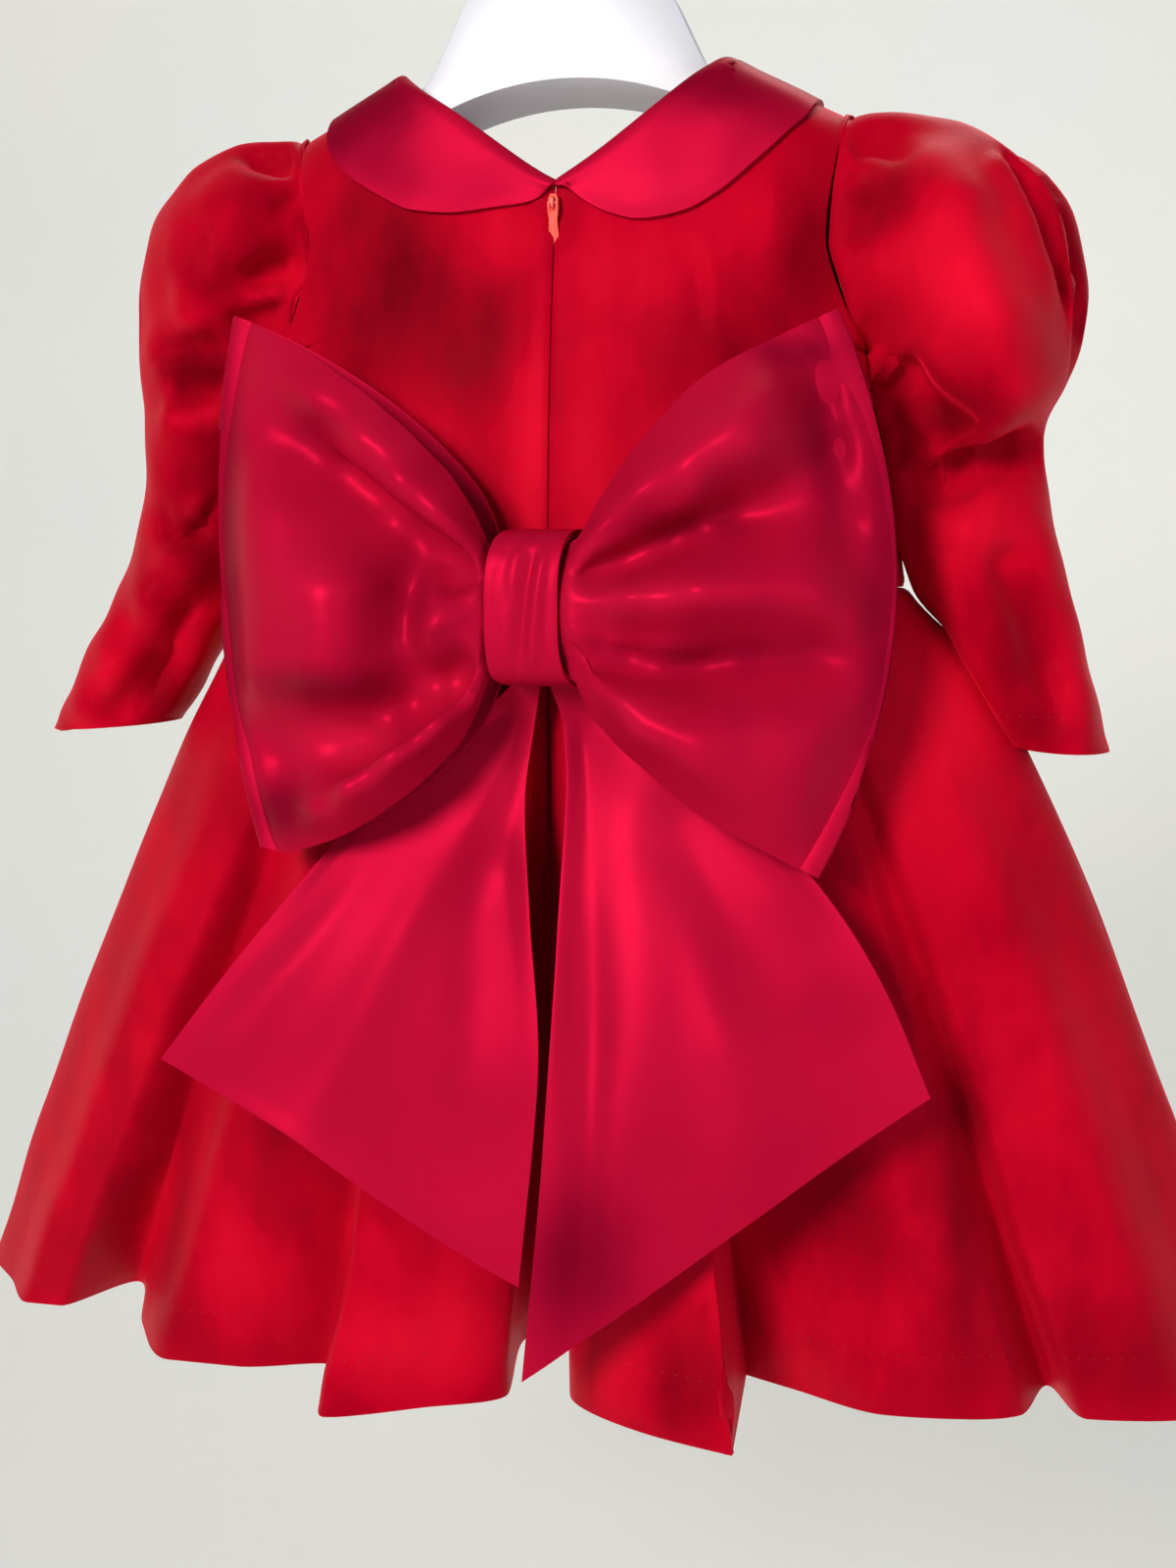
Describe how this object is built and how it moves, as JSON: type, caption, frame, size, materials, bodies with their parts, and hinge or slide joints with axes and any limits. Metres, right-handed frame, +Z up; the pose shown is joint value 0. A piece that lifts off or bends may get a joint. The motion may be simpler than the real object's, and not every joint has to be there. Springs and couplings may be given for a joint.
{
  "type": "toddler party dress on a hanger",
  "caption": "Toddler's velvet party dress with leg-of-mutton sleeves, satin collar, pleated skirt and a large satin bow at the back, on a moulded hanger.",
  "frame": {"origin": "inside top of the hanger's hook, on the rail that it hangs from", "axes": "+Z up along the hanging dress; +Y from the dress's back, with the bow, to its front; +X to the right as seen from behind"},
  "size_m": [0.58, 0.176, 0.6772],
  "materials": {
    "cotton_velvet": "short cut pile, soft sheen",
    "duchess_satin": "smooth satin with a soft shine",
    "moulded_polystyrene": "smooth, slightly glossy",
    "chromed_wire": "polished",
    "lacquered_zip": "glossy lacquer"
  },
  "bodies": {
    "dress": {"hanger_body": "moulded_polystyrene", "hanger_hook": "chromed_wire", "bodice_back_left": "cotton_velvet", "bodice_back_right": "cotton_velvet", "bodice_front": "cotton_velvet", "skirt_back_left": "cotton_velvet", "skirt_back_right": "cotton_velvet", "skirt_front": "cotton_velvet", "sleeve_left": "cotton_velvet", "sleeve_right": "cotton_velvet", "collar_left": "duchess_satin", "collar_right": "duchess_satin", "bow_loop_left": "duchess_satin", "bow_loop_right": "duchess_satin", "bow_tail_left": "duchess_satin", "bow_tail_right": "duchess_satin", "bow_knot": "duchess_satin", "zip_slider": "lacquered_zip"},
    "zip_pull": {"zip_pull": "lacquered_zip"}
  },
  "joints": [
    {"name": "zip_pull_hinge", "type": "hinge", "parent": "dress", "child": "zip_pull", "pos_m": [0, -0.03723, -0.2085], "axis": [-1, 0, 0], "range_deg": [0, 150]}
  ]
}
